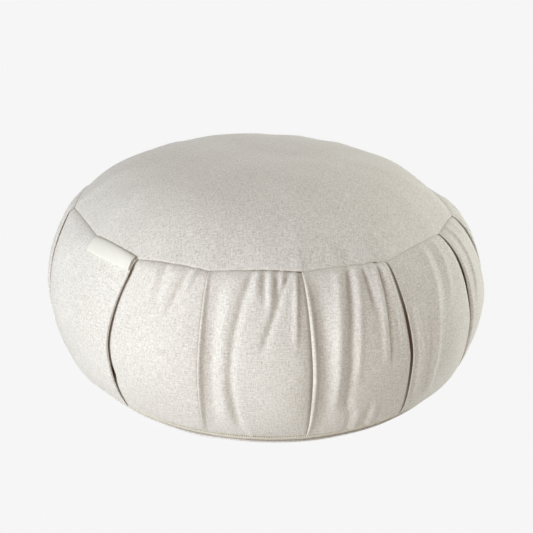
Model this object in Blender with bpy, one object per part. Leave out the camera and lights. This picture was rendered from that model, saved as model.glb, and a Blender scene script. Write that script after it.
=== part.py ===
"""A zafu: a round meditation cushion with a pleated side, 350 mm across and 163 mm tall.

The maker cuts two discs of cloth and one long strip. The strip is laid in knife
pleats and sewn between the discs, a zip goes in along the front of the lower seam,
a folded label is caught in the upper seam, and the cover is filled.

Sizes are in millimetres here and turned into metres when a mesh is made. +Z is up,
the front is -Y, and the origin is on the floor under the middle of the cushion.
An azimuth is 0 at the front and grows towards +X, the right-hand side.
"""
import bmesh
import bpy
import numpy as np

MM = 0.001

# ---- Driving dimensions, in millimetres ----
BELLY_RADIUS = 175.0
BELLY_HEIGHT = 65.5
TOP_SEAM_RADIUS = 144.5
TOP_SEAM_HEIGHT = 125.0
CROWN_HEIGHT = 163.0
CROWN_FULLNESS = 3.9          # exponent of the crown: higher is flatter, with a rounder shoulder
UPPER_FULLNESS = 1.6          # exponents of the side above and below the belly
LOWER_FULLNESS = 1.83
FOOT_RADIUS = 148.0           # where the lower side would meet the floor side if it ran on
FOOT_HEIGHT = 3.4
BOTTOM_SEAM_HEIGHT = 6.0
FLAT_RADIUS = 118.0           # the flat that rests on the floor
LEAN = -0.022                 # sideways drift of the middle for each mm above the belly
OUT_OF_ROUND = 1.6            # how far the hand-filled outline strays from a circle

CLOTH = 1.5                   # thickness of a panel
GAP = 0.3                     # clearance between neighbouring pieces
SEAM_WIDTH = 0.6              # open groove between a panel's rim and the side

CHANNEL_DEPTH = 3.2           # depth of the sewn channel under a pleat's fold
CHANNEL_HALF_WIDTH = 0.9
FOLD_RISE = 1.7               # how far a fold stands up, and its neighbour sits down
FOLD_DROP = 0.7
PANEL_PUFF = 1.2              # how far the cloth between two pleats swells
CORNER_RISE = 2.0             # the upper seam's blunt corners at the pleats

ZIP_FROM = -55.0              # the zip's ends, degrees round from the front
ZIP_TO = 58.0
ZIP_RECESS = 1.8
ZIP_MARGIN = 3.0              # degrees that the recess runs on past the zip's ends
TAPE_WIDTH = 4.2
TAPE_THICKNESS = 1.0
COIL_WIDTH = 3.0
COIL_THICKNESS = 1.4
ZIP_ACROSS = 2 * TAPE_WIDTH + COIL_WIDTH + 6 * GAP

LABEL_FROM = -52.5
LABEL_TO = -33.6
LABEL_WIDTH = 13.0            # how far the folded label hangs out of the seam
LABEL_THICKNESS = 1.2
LABEL_LIFT = 1.6              # the loose corner's height above the cloth

# One row for each pleat: the fold's azimuth in degrees at the upper seam, the belly
# and the lower seam, and which neighbour's fold lies on top (+1 the one to the
# right, towards a larger azimuth, -1 the one to the left).
PLEAT_COLUMNS = ("top", "belly", "bottom", "on_top")
PLEATS = (
    (-80.0, -72.0, -70.0, -1),
    (-32.5, -37.0, -35.0, -1),
    (-13.0, -13.5, -14.0, +1),
    (9.5, 10.0, 9.5, +1),
    (32.5, 34.0, 34.5, +1),
    (60.0, 60.0, 62.0, +1),
    (77.0, 80.0, 80.5, +1),
    (110.0, 109.0, 109.5, +1),
    (134.5, 135.0, 134.0, +1),
    (159.0, 158.5, 159.0, +1),
    (183.5, 184.5, 184.0, -1),
    (208.0, 208.0, 209.0, -1),
    (233.0, 233.5, 233.0, -1),
    (257.5, 263.0, 262.0, -1),
)

# Where the columns of a pleated panel stand, as shares of the way across it.
COLUMN_SHARES = (0.0, 0.08, 0.36, 0.64, 0.92, 1.0)
SIDE_ROWS = 11
CROWN_SHARES = (1.0, 0.94, 0.82, 0.62, 0.34)
FLOOR_SHARES = (1.0, 0.5, 0.0)


def pleat_column(name):
    """One column of the pleat table."""
    return np.array([row[PLEAT_COLUMNS.index(name)] for row in PLEATS], float)


def pleat_azimuths(height):
    """Each pleat's azimuth at a height: a parabola through its three table values."""
    share = (height - BOTTOM_SEAM_HEIGHT) / (TOP_SEAM_HEIGHT - BOTTOM_SEAM_HEIGHT)
    top, belly, bottom = (pleat_column(name) for name in PLEAT_COLUMNS[:3])
    return (bottom * (1 - share) * (1 - 2 * share) + 4 * belly * share * (1 - share)
            + top * share * (2 * share - 1))


def side_radius(height):
    """Radius of the side at a height: a superellipse above the belly and one below."""
    above = np.clip((height - BELLY_HEIGHT) / (TOP_SEAM_HEIGHT - BELLY_HEIGHT), 0, 1)
    below = np.clip((BELLY_HEIGHT - height) / (BELLY_HEIGHT - FOOT_HEIGHT), 0, 1)
    upper = (1 - above ** UPPER_FULLNESS) ** (1 / UPPER_FULLNESS)
    lower = (1 - below ** LOWER_FULLNESS) ** (1 / LOWER_FULLNESS)
    return np.where(height > BELLY_HEIGHT,
                    TOP_SEAM_RADIUS + (BELLY_RADIUS - TOP_SEAM_RADIUS) * upper,
                    FOOT_RADIUS + (BELLY_RADIUS - FOOT_RADIUS) * lower)


def crown_height(share):
    """Height of the top panel at a share of the seam's radius."""
    return TOP_SEAM_HEIGHT + (CROWN_HEIGHT - TOP_SEAM_HEIGHT) * (1 - share ** CROWN_FULLNESS)


def placed(azimuth, radius, height):
    """Points in metres from azimuth, radius and height, with the lean and the stray added."""
    turn = np.radians(azimuth)
    stray = OUT_OF_ROUND * (0.8 * np.sin(2 * turn) + 0.7 * np.cos(3 * turn))
    wide = radius + stray * radius / BELLY_RADIUS
    lean = LEAN * (height - BELLY_HEIGHT)
    x, y, z = np.broadcast_arrays(wide * np.sin(turn) + lean, -wide * np.cos(turn), height)
    return np.stack([x, y, z], axis=-1) * MM


def columns_round():
    """The columns round the cushion.

    Returns for each column the pleat it starts from, its share of the way to the
    next pleat, its sideways shift in mm, and its radial offsets in mm: where it
    belongs to a fold on top, to the cloth under a fold, or to a channel's floor.
    """
    on_top = pleat_column("on_top")
    rows = []
    for index in range(len(PLEATS)):
        following = (index + 1) % len(PLEATS)
        rows.append((index, 0.0, 0.0, -CHANNEL_DEPTH))
        for share in COLUMN_SHARES:
            offset = PANEL_PUFF * 4 * share * (1 - share)
            if share == 0.0:
                offset = FOLD_RISE if on_top[index] > 0 else -FOLD_DROP
            if share == 1.0:
                offset = FOLD_RISE if on_top[following] < 0 else -FOLD_DROP
            rows.append((index, share, CHANNEL_HALF_WIDTH * (1 - 2 * share), offset))
    return np.array(rows)


def column_azimuths(columns, height, radius):
    """Azimuth of every column at one height, in degrees."""
    starts = pleat_azimuths(height)
    ends = np.append(starts[1:], starts[0] + 360)
    pleat = columns[:, 0].astype(int)
    azimuth = starts[pleat] + columns[:, 1] * (ends - starts)[pleat]
    return azimuth + np.degrees(columns[:, 2] / radius)


def seam_radius(columns, radius):
    """The upper seam's radius at each column, a little larger towards the pleats."""
    across = np.abs(2 * columns[:, 1] - 1)
    return radius + CORNER_RISE * (across ** 3 - 0.5)


def in_zip(azimuth):
    """1 along the zip and its margins, and 0 outside them."""
    turned = (azimuth + 180) % 360 - 180
    return ((turned > ZIP_FROM - ZIP_MARGIN) & (turned < ZIP_TO + ZIP_MARGIN)).astype(float)


def zip_line(share, sunk=0.0):
    """Radius and height across the zip, from the strip's edge (0) to the lower seam (1)."""
    upper = np.array([side_radius(ZIP_TOP), ZIP_TOP])
    lower = np.array([side_radius(BOTTOM_SEAM_HEIGHT), BOTTOM_SEAM_HEIGHT])
    outward = np.array([upper[1] - lower[1], lower[0] - upper[0]])
    outward = outward / np.linalg.norm(outward)
    return upper + (lower - upper) * share - sunk * outward


def zip_top_height():
    """Height at which the strip's lower edge stops above the zip."""
    heights = np.linspace(BOTTOM_SEAM_HEIGHT, BELLY_HEIGHT, 600)
    radii = side_radius(heights)
    reach = np.hypot(radii - radii[0], heights - heights[0])
    return float(np.interp(ZIP_ACROSS, reach, heights))


ZIP_TOP = zip_top_height()


def pleated_rings(columns):
    """Rings of the pleated side, from the upper seam down to the zip's upper edge."""
    rings = []
    steps = np.linspace(0.0, 1.0, SIDE_ROWS)
    for share in 0.5 - 0.5 * np.cos(np.pi * steps):
        height = TOP_SEAM_HEIGHT - 1.0 + (ZIP_TOP - TOP_SEAM_HEIGHT + 1.0) * share
        swell = np.sin(np.pi * min(max(share, 0.03), 0.97)) ** 0.6
        radius = side_radius(height) + columns[:, 3] * swell
        near_seam = np.clip(1 - share * 6, 0, 1)
        radius = radius + near_seam * (seam_radius(columns, 0.0) + SEAM_WIDTH)
        azimuth = column_azimuths(columns, height, BELLY_RADIUS)
        rings.append(placed(azimuth, radius, height))
    return rings


def crown_rings(columns, sunk):
    """Rings of the crown, from the seam inwards, sunk below the top panel's face."""
    azimuth = column_azimuths(columns, TOP_SEAM_HEIGHT, TOP_SEAM_RADIUS)
    return [placed(azimuth, seam_radius(columns, TOP_SEAM_RADIUS) * share,
                   crown_height(share) - sunk) for share in CROWN_SHARES]


def floor_rings(columns, raised, inset):
    """Rings of the underside, from the lower seam inwards, raised above its face."""
    azimuth = column_azimuths(columns, BOTTOM_SEAM_HEIGHT, BELLY_RADIUS)
    rim = float(side_radius(BOTTOM_SEAM_HEIGHT)) - inset
    rings = []
    for share in FLOOR_SHARES:
        radius = FLAT_RADIUS + (rim - FLAT_RADIUS) * share
        height = (BOTTOM_SEAM_HEIGHT - CLOTH) * share ** 2 + raised
        rings.append(placed(azimuth, radius, height))
    return rings


def recess_rings(columns):
    """Rings from the strip's lower edge to the lower seam, set back where the zip lies."""
    azimuth = column_azimuths(columns, ZIP_TOP, BELLY_RADIUS)
    depth = ZIP_RECESS * in_zip(azimuth)[:, None]
    rings = []
    for share in (0.015, 0.985):
        face, sunk = zip_line(share), zip_line(share, 1.0)
        section = face + (sunk - face) * depth
        rings.append(placed(azimuth, section[:, 0], section[:, 1]))
    edge = zip_line(1.0)
    rings.append(placed(azimuth, edge[0], edge[1]))
    return rings


def add_object(name, bm, colour, roughness):
    """Turn a bmesh into one object with its own material."""
    bmesh.ops.recalc_face_normals(bm, faces=bm.faces)
    mesh = bpy.data.meshes.new(name)
    bm.to_mesh(mesh)
    bm.free()
    mesh.shade_smooth()
    mesh.set_sharp_from_angle(angle=np.radians(35))
    material = bpy.data.materials.new(name)
    material.use_nodes = True
    shader = material.node_tree.nodes["Principled BSDF"]
    shader.inputs["Base Color"].default_value = (*colour, 1.0)
    shader.inputs["Roughness"].default_value = roughness
    mesh.materials.append(material)
    part = bpy.data.objects.new(name, mesh)
    bpy.context.scene.collection.objects.link(part)
    return part


def turned_solid(rings):
    """A closed body from rings of points, each end closed by a fan to its middle."""
    bm = bmesh.new()
    loops = [[bm.verts.new(point) for point in ring] for ring in rings]
    count = len(loops[0])
    for upper, lower in zip(loops, loops[1:]):
        for here in range(count):
            after = (here + 1) % count
            bm.faces.new((upper[here], upper[after], lower[after], lower[here]))
    for ring, loop in ((rings[0], loops[0]), (rings[-1], loops[-1])):
        middle = bm.verts.new(np.mean(ring, axis=0))
        for here in range(count):
            bm.faces.new((loop[here], loop[(here + 1) % count], middle))
    return bm


def sheet_solid(face, back):
    """A closed sheet between two grids of points, walled along its four edges."""
    bm = bmesh.new()
    skins = [[[bm.verts.new(point) for point in row] for row in grid] for grid in (face, back)]
    rows, count = len(face), len(face[0])
    for skin in skins:
        for row in range(rows - 1):
            for col in range(count - 1):
                bm.faces.new((skin[row][col], skin[row][col + 1],
                              skin[row + 1][col + 1], skin[row + 1][col]))
    border = [(0, col) for col in range(count)]
    border += [(row, count - 1) for row in range(1, rows)]
    border += [(rows - 1, col) for col in range(count - 2, -1, -1)]
    border += [(row, 0) for row in range(rows - 2, 0, -1)]
    for here, after in zip(border, border[1:] + border[:1]):
        bm.faces.new((skins[0][here[0]][here[1]], skins[0][after[0]][after[1]],
                      skins[1][after[0]][after[1]], skins[1][here[0]][here[1]]))
    return bm


def make_body(columns):
    """The filled cushion: pleated side, drawn-in seams, and the crown and floor of filling."""
    crown = crown_rings(columns, CLOTH + GAP)
    floor = floor_rings(columns, CLOTH + GAP, SEAM_WIDTH)
    rings = crown[::-1] + pleated_rings(columns) + recess_rings(columns) + floor
    return add_object("cushion_body", turned_solid(rings), (0.72, 0.69, 0.63), 0.9)


def make_top_panel(columns):
    """The round top panel, domed over the filling."""
    face = crown_rings(columns, 0.0)
    back = crown_rings(columns, CLOTH)
    return add_object("top_panel", turned_solid(face[::-1] + back), (0.70, 0.67, 0.62), 0.9)


def make_bottom_panel(columns):
    """The round bottom panel, flat on the floor with its rim turned up to the seam."""
    inset = SEAM_WIDTH + GAP
    back = floor_rings(columns, CLOTH, inset)
    face = floor_rings(columns, 0.0, inset)
    return add_object("bottom_panel", turned_solid(back[::-1] + face), (0.70, 0.67, 0.62), 0.9)


def zip_strip(name, start, width, thickness, colour, roughness):
    """One strip of the zip, running round the front at a distance below the cloth's edge."""
    azimuth = np.linspace(ZIP_FROM, ZIP_TO, 46)
    base = ZIP_RECESS - GAP
    grids = []
    for sunk in (base - thickness, base):
        lines = [zip_line(distance / ZIP_ACROSS, sunk) for distance in (start, start + width)]
        grids.append([placed(azimuth, line[0], line[1]) for line in lines])
    return add_object(name, sheet_solid(*grids), colour, roughness)


def make_zip():
    """The zip: a tape sewn to the strip, the coil, and a tape sewn to the bottom panel."""
    coil_start = TAPE_WIDTH + 3 * GAP
    lower_start = coil_start + COIL_WIDTH + GAP
    cream = (0.78, 0.74, 0.62)
    zip_strip("zip_tape_upper", 2 * GAP, TAPE_WIDTH, TAPE_THICKNESS, cream, 0.85)
    zip_strip("zip_coil", coil_start, COIL_WIDTH, COIL_THICKNESS, cream, 0.5)
    zip_strip("zip_tape_lower", lower_start, TAPE_WIDTH, TAPE_THICKNESS, cream, 0.85)


def label_rows(raised):
    """Rows of the label from the seam outwards, raised above the cloth it lies on."""
    heights = TOP_SEAM_HEIGHT - 1.0 - np.linspace(0, 30, 400)
    radii = side_radius(heights) + SEAM_WIDTH + 1.0
    travel = np.append(0.0, np.cumsum(np.hypot(np.diff(radii), np.diff(heights))))
    azimuth = np.linspace(LABEL_FROM, LABEL_TO, 13)
    lift = LABEL_LIFT * np.linspace(0, 1, 13) ** 2
    rows = []
    for distance in np.linspace(0, LABEL_WIDTH, 5):
        index = int(np.searchsorted(travel, distance))
        slope = np.array([heights[index] - heights[index + 4], radii[index + 4] - radii[index]])
        outward = slope / np.linalg.norm(slope)
        away = raised + PANEL_PUFF + lift * distance / LABEL_WIDTH
        rows.append(placed(azimuth, radii[index] + away * outward[0],
                           heights[index] + away * outward[1]))
    return rows


def make_label():
    """The folded label caught in the upper seam, its free corner a little lifted."""
    face = label_rows(GAP + LABEL_THICKNESS)
    back = label_rows(GAP)
    return add_object("label", sheet_solid(face, back), (0.88, 0.86, 0.78), 0.7)


def main():
    for old in list(bpy.data.objects):
        bpy.data.objects.remove(old, do_unlink=True)
    columns = columns_round()
    make_body(columns)
    make_top_panel(columns)
    make_bottom_panel(columns)
    make_zip()
    make_label()


main()
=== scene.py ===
# %% [markdown]
# # A zafu, worked out as cloth
# A zafu is a round meditation cushion. Its cover is two discs and one long strip: the
# strip is laid in knife pleats, sewn between the discs, and closed by a zip low on the
# front. Here each sewn piece is a surface computed with numpy, in the frame of the
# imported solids, so every piece already stands where the maker's solid stands.

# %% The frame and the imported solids
import math

import bpy
import numpy as np
from mathutils import Matrix, Vector


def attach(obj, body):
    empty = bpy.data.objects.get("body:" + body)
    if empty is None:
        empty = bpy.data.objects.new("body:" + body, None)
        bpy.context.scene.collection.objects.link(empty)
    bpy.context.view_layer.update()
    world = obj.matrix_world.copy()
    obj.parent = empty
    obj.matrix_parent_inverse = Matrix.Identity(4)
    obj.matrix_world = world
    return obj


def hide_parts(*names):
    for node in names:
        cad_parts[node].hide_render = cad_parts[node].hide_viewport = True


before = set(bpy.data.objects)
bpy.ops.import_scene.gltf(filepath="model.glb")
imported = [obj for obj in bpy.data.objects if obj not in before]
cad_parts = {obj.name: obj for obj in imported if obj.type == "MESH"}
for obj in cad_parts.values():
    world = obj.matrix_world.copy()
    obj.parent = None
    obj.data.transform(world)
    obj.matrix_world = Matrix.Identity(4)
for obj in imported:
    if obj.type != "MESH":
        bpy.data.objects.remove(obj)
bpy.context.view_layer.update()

# %% [markdown]
# ## The driving sizes
# The cushion is 350 mm across and 163 mm tall. All lengths below are in millimetres and
# turn into metres only when a mesh is made. An azimuth is 0 at the front (-Y) and grows
# towards +X, the right-hand side.

# %% Driving sizes
MM = 0.001
BELLY_RADIUS = 175.0
BELLY_HEIGHT = 65.5
TOP_SEAM_RADIUS = 144.5
TOP_SEAM_HEIGHT = 125.0
CROWN_HEIGHT = 163.0
CROWN_FULLNESS = 3.9
UPPER_FULLNESS = 1.6
LOWER_FULLNESS = 1.83
FOOT_RADIUS = 148.0
FOOT_HEIGHT = 3.4
BOTTOM_SEAM_HEIGHT = 6.0
FLAT_RADIUS = 118.0
LEAN = -0.022
OUT_OF_ROUND = 1.6

ZIP_FROM = -55.0
ZIP_TO = 58.0
ZIP_TOP = 16.5
ZIP_TUCK = 6.0                # degrees that the zip runs on, under the strip, at each end
ZIP_FADE = 8.0                # degrees over which the strip's edge climbs clear of it

LABEL_FROM = -52.5
LABEL_TO = -33.0
LABEL_WIDTH = 13.0

# %% [markdown]
# ## The pleats
# A knife pleat is a Z of cloth: one panel ends in a folded edge that lies on top, and the
# next panel runs on underneath it. The folds could be drawn one by one, but they differ
# only in a few measures, so a table holds them: where each fold runs, which neighbour
# lies on top, how wide its mouth stands open, how round the fold is, how far it stands
# up, how broad that rise is, how deep the cloth dips beside it, how square the pressed
# edge is (1 is a round roll, smaller is squarer), and how far the seam's corner there
# stands out.

# %% The pleat table
PLEAT_COLUMNS = ("top", "belly", "bottom", "on_top", "gap", "roll", "rise", "bead", "dip",
                 "square", "corner")
PLEATS = (
    (-80.0, -72.0, -70.0, -1, 0.8, 0.8, 0.6, 2.0, 0.2, 0.6, -1.0),
    (-32.5, -37.0, -35.0, -1, 1.3, 1.0, 0.7, 0.7, 0.2, 0.4, 3.0),
    (-13.0, -13.5, -14.0, +1, 1.2, 1.2, 2.9, 1.2, 2.7, 0.9, 0.5),
    (9.5, 10.0, 9.5, +1, 1.4, 1.9, 3.2, 1.6, 2.2, 0.9, -1.0),
    (32.5, 34.0, 34.5, +1, 1.6, 0.6, 0.4, 0.3, 0.0, 0.9, 2.5),
    (60.0, 60.0, 62.0, +1, 1.3, 1.4, 0.6, 1.2, 0.2, 0.5, -1.0),
    (77.0, 80.0, 80.5, +1, 0.8, 1.0, 0.5, 2.2, 0.8, 0.8, 1.5),
    (110.0, 109.0, 109.5, +1, 0.6, 1.0, 0.8, 2.4, 1.0, 0.9, -2.0),
    (134.5, 135.0, 134.0, +1, 1.2, 1.1, 1.0, 1.8, 0.6, 0.6, 0.5),
    (159.0, 158.5, 159.0, +1, 0.7, 0.9, 1.5, 2.2, 1.1, 0.9, 0.0),
    (183.5, 184.5, 184.0, -1, 1.1, 1.0, 1.2, 2.0, 0.7, 0.7, 1.0),
    (208.0, 208.0, 209.0, -1, 0.5, 0.9, 1.6, 2.4, 1.2, 0.9, 0.0),
    (233.0, 233.5, 233.0, -1, 1.1, 1.0, 1.0, 1.8, 0.5, 0.6, -1.5),
    (257.5, 263.0, 262.0, -1, 0.9, 1.0, 1.4, 2.2, 0.8, 0.8, 0.0),
)
FLAP = 16.0                   # how far the cloth runs in under a fold
FLAP_TURN = 0.35              # and how far its turned edge stands on from there
PLEAT_TOTAL = len(PLEATS)


def pleat_column(name):
    """One column of the pleat table, as an array with one value for each pleat."""
    return np.array([row[PLEAT_COLUMNS.index(name)] for row in PLEATS], float)


ON_TOP = pleat_column("on_top")
print(PLEAT_TOTAL, "pleats,", int((ON_TOP > 0).sum()), "with the right-hand panel on top")

# %% [markdown]
# ## The outline of the side
# Filling pushes the strip out into a belly, and the two seams hold it in. A superellipse
# above the belly and another below give that outline: r = seam + (belly - seam) *
# (1 - u^p)^(1/p), where u runs from 0 at the belly to 1 at the seam and p is the
# fullness. The outline is then measured along its own length, because cloth is cut by
# length and not by height.

# %% The outline and its measure
def eased(step, amount):
    """Even steps from 0 to 1, crowded to both ends: an amount of them follows a cosine."""
    return (1 - amount) * step + amount * (0.5 - 0.5 * np.cos(np.pi * step))


def side_radius(height):
    """Radius of the side at a height: a superellipse above the belly and one below."""
    above = np.clip((height - BELLY_HEIGHT) / (TOP_SEAM_HEIGHT - BELLY_HEIGHT), 0, 1)
    below = np.clip((BELLY_HEIGHT - height) / (BELLY_HEIGHT - FOOT_HEIGHT), 0, 1)
    upper = (1 - above ** UPPER_FULLNESS) ** (1 / UPPER_FULLNESS)
    lower = (1 - below ** LOWER_FULLNESS) ** (1 / LOWER_FULLNESS)
    return np.where(height > BELLY_HEIGHT,
                    TOP_SEAM_RADIUS + (BELLY_RADIUS - TOP_SEAM_RADIUS) * upper,
                    FOOT_RADIUS + (BELLY_RADIUS - FOOT_RADIUS) * lower)


FOOT_RIM = float(side_radius(BOTTOM_SEAM_HEIGHT))
outline_step = eased(np.linspace(0, 1, 3001), 1.0)
OUTLINE_HEIGHT = TOP_SEAM_HEIGHT + (BOTTOM_SEAM_HEIGHT - TOP_SEAM_HEIGHT) * outline_step
OUTLINE_RADIUS = side_radius(OUTLINE_HEIGHT)
OUTLINE_TRAVEL = np.append(0.0, np.cumsum(np.hypot(np.diff(OUTLINE_RADIUS),
                                                   np.diff(OUTLINE_HEIGHT))))
SIDE_LENGTH = OUTLINE_TRAVEL[-1]
ZIP_TRAVEL = float(np.interp(-ZIP_TOP, -OUTLINE_HEIGHT, OUTLINE_TRAVEL))


def outline_point(travel):
    """Radius and height at a distance down the side."""
    return np.array([np.interp(travel, OUTLINE_TRAVEL, OUTLINE_RADIUS),
                     np.interp(travel, OUTLINE_TRAVEL, OUTLINE_HEIGHT)])


def outline(travel):
    """Radius and height at a distance down the side, and the outward normal there.

    The normal is the tangent (dr, dz), taken over 1.2 mm, turned outwards: (-dz, dr).
    """
    before, after = np.clip([travel - 0.6, travel + 0.6], 0, SIDE_LENGTH)
    along_r, along_z = outline_point(after) - outline_point(before)
    length = np.hypot(along_r, along_z)
    return *outline_point(travel), -along_z / length, along_r / length


print("strip is", round(float(SIDE_LENGTH)), "mm from seam to seam")

# %% [markdown]
# ## From azimuth, radius and height to a place
# No hand-filled cushion is a perfect turned shape. This one leans a little to the left
# as it rises, and its outline strays from a circle by a millimetre or two.

# %% Placing points
def placed(azimuth, radius, height):
    """Points in metres: x = r sin(a) + lean, y = -r cos(a), with r a little out of round."""
    turn = np.radians(azimuth)
    stray = OUT_OF_ROUND * (0.8 * np.sin(2 * turn) + 0.7 * np.cos(3 * turn))
    wide = radius + stray * radius / BELLY_RADIUS
    lean = LEAN * (height - BELLY_HEIGHT)
    x, y, z = np.broadcast_arrays(wide * np.sin(turn) + lean, -wide * np.cos(turn), height)
    return np.stack([x, y, z], axis=-1) * MM


def smooth(low, high, value):
    """Smoothstep: 0 below low, 1 above high, and 3t^2 - 2t^3 between them."""
    t = np.clip((value - low) / (high - low), 0, 1)
    return t * t * (3 - 2 * t)


def bell(distance, width):
    """A Gaussian: exp(-(distance / width)^2)."""
    return np.exp(-(distance / width) ** 2)


def squared_off(wave, power):
    """sign(w) |w|^power: a sine or cosine with squarer shoulders as power falls below 1."""
    return np.sign(wave) * np.abs(wave) ** power


def apart(azimuth, other):
    """Degrees from one azimuth to another by the shorter way round."""
    return (azimuth - other + 180) % 360 - 180


def through_three(top, middle, bottom, share):
    """The parabola that takes three values at the shares 0, a half and 1."""
    return (top * (1 - share) * (1 - 2 * share) + 4 * middle * share * (1 - share)
            + bottom * share * (2 * share - 1))


# %% [markdown]
# ## The seams' own shape
# A pleat is stiff where it is sewn down, so the upper seam is a polygon with soft sides:
# it has a blunt corner at every pleat, and one more where the label starts, and between
# two corners it runs nearly straight and a little higher. The disc wasn't sewn in quite
# centred, so the seam's circle is shifted a little to the left.

# %% The upper seam
SEAM_CIRCLE = 146.0
SEAM_SHIFT = 2.5              # how far the circle lies off centre, to the left
SEAM_SAG = 2.7                # how far a usual side of the polygon lies inside the circle
SEAM_ARCH = 1.1               # and how much higher its middle lies than its corners
USUAL_SIDE = 24.0             # degrees
WIDEST_SIDE = 27.6            # a wider side sags no further
SEAM_REACH = 14.0             # how far down the side the seam's own shape carries on
SEAM_LOW = 0.4                # how far its corners lie below the seam's height
LABEL_CORNER = (LABEL_FROM, -2.5)     # azimuth, and how far that corner stands out
corners = sorted([*zip(pleat_column("top"), pleat_column("corner")), LABEL_CORNER])
CORNER_AZIMUTH, stand_out = np.array(corners).T
CORNER_RADIUS = SEAM_CIRCLE - SEAM_SHIFT * np.sin(np.radians(CORNER_AZIMUTH)) + stand_out


def between(azimuth, marks):
    """Which pair of marks an azimuth lies between, and how far along, from 0 to 1."""
    ring = np.concatenate([marks, marks[:2] + 360])
    turned = (azimuth - marks[0]) % 360 + marks[0]
    place = np.interp(turned, ring, np.arange(len(ring)))
    first = np.floor(place).astype(int) % len(marks)
    return first, place % 1.0, (ring[first + 1] - ring[first])


def seam_offset(azimuth):
    """Radius and height that the seam adds at an azimuth.

    The radius runs evenly from corner to corner, less SEAM_SAG (width / 24)^2 (1 - w^2.2)
    where w goes from -1 to 1 along the side. The height is an arch.
    """
    first, share, width = between(azimuth, CORNER_AZIMUTH)
    across = np.abs(2 * share - 1)
    even = CORNER_RADIUS[first] * (1 - share) + np.roll(CORNER_RADIUS, -1)[first] * share
    sag = SEAM_SAG * (np.minimum(width, WIDEST_SIDE) / USUAL_SIDE) ** 2 * (1 - across ** 2.2)
    return even - sag - TOP_SEAM_RADIUS, SEAM_ARCH * (1 - across ** 2) - SEAM_LOW


def seam_pull(azimuth, travel):
    """The seam's own shape, dying away down the side: its offset times a bell."""
    radius, height = seam_offset(azimuth)
    near = bell(travel, SEAM_REACH)
    return radius * near, height * near


def zip_cover(azimuth):
    """1 where the zip lies and 0 elsewhere, with a soft end of ZIP_FADE degrees."""
    turned = apart(azimuth, 0)
    return smooth(ZIP_FROM - ZIP_FADE, ZIP_FROM, turned) \
        * (1 - smooth(ZIP_TO, ZIP_TO + ZIP_FADE, turned))


def strip_length(azimuth):
    """The strip's length from the upper seam to its edge: shorter where the zip lies."""
    return SIDE_LENGTH + (ZIP_TRAVEL - SIDE_LENGTH) * zip_cover(azimuth)


# %% [markdown]
# ## Creases
# Between the pleats the cloth puckers where the seams gather it and pulls into long soft
# troughs. A simulation would scatter them anywhere. The real creases have places, so the
# main ones stand in a table: azimuth at the top, the middle and the foot, the shares of
# the side between which they show, height (a trough is below 0) and width. Each is a
# Gaussian across its line: height * exp(-(distance / width)^2).

# %% The crease table
CREASES = (
    # the wide panel beyond the label
    (-58.5, -61.5, -62.0, 0.06, 0.52, 0.5, 1.8),
    (-61.5, -64.5, -65.0, 0.06, 0.52, -0.4, 2.2),
    (-62.0, -64.0, -64.0, 0.42, 0.86, 0.45, 1.8),
    (-64.0, -66.5, -66.5, 0.42, 0.86, -0.4, 2.0),
    (-47.0, -48.0, -48.5, 0.30, 0.95, 0.35, 3.5),
    # the panel beside the label
    (-17.0, -23.0, -24.0, -0.1, 0.32, -2.6, 1.8),
    (-15.5, -21.0, -22.0, -0.1, 0.22, 1.5, 1.5),
    (-19.5, -25.5, -26.0, -0.1, 0.26, 0.9, 1.7),
    (-23.5, -25.0, -25.0, -0.1, 0.30, -1.7, 1.6),
    (-25.5, -27.0, -27.0, -0.1, 0.28, 0.9, 1.6),
    # the wide panel left of the middle
    (-2.0, -6.5, -4.5, -0.1, 0.97, -2.2, 2.2),
    (-5.5, -9.0, -6.5, 0.10, 0.88, 1.2, 3.2),
    (-1.0, -3.0, -3.0, -0.1, 0.20, 1.5, 1.5),
    (0.5, 0.0, -1.0, -0.1, 0.24, -1.9, 1.4),
    (2.0, 0.5, -1.0, -0.1, 0.28, 1.5, 1.5),
    (3.5, 2.5, 2.0, -0.1, 0.19, -2.1, 1.3),
    (5.0, 3.5, 3.0, -0.1, 0.17, 1.3, 1.1),
    (6.5, -1.0, -5.0, -0.1, 0.47, -2.1, 1.6),
    (8.0, 6.5, 6.0, -0.1, 0.44, 1.6, 1.6),
    (-3.0, -3.0, -3.0, 0.90, 1.1, 0.9, 1.8),
    # the panel right of the middle
    (18.5, 15.5, 15.5, -0.1, 0.84, 2.0, 3.2),
    (21.5, 18.5, 18.5, -0.1, 0.88, -2.3, 2.2),
    (23.5, 20.0, 20.0, -0.1, 0.66, 1.2, 1.9),
    (25.0, 25.0, 24.0, -0.1, 0.30, -1.7, 1.5),
    (28.0, 26.5, 26.0, -0.1, 0.58, 1.7, 1.7),
    (29.5, 28.0, 27.5, -0.1, 0.62, -1.8, 1.5),
    (31.0, 31.0, 31.5, -0.1, 0.55, 1.3, 1.7),
    (19.0, 19.0, 19.0, 0.78, 1.1, -1.2, 1.5),
    (21.0, 21.0, 21.0, 0.78, 1.1, 1.1, 1.5),
    (23.5, 23.5, 23.5, 0.76, 1.1, -1.2, 1.5),
    (25.0, 25.0, 25.0, 0.78, 1.1, 1.1, 1.5),
    (27.0, 27.0, 27.0, 0.78, 1.1, -1.2, 1.5),
    # the panel at the right
    (35.0, 36.0, 37.0, 0.22, 0.92, 1.3, 1.4),
    (39.0, 39.5, 40.0, 0.22, 0.92, -0.7, 2.4),
    (47.0, 41.5, 41.5, -0.1, 0.90, 1.3, 3.0),
    (50.5, 44.5, 44.0, -0.1, 0.45, -0.6, 2.6),
    (54.0, 47.0, 46.0, -0.1, 0.36, 0.9, 2.4),
)
GATHERS_IN_A_PANEL = 4
FIRST_BEHIND = 5              # the pleat from which the drawn rows begin


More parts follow.
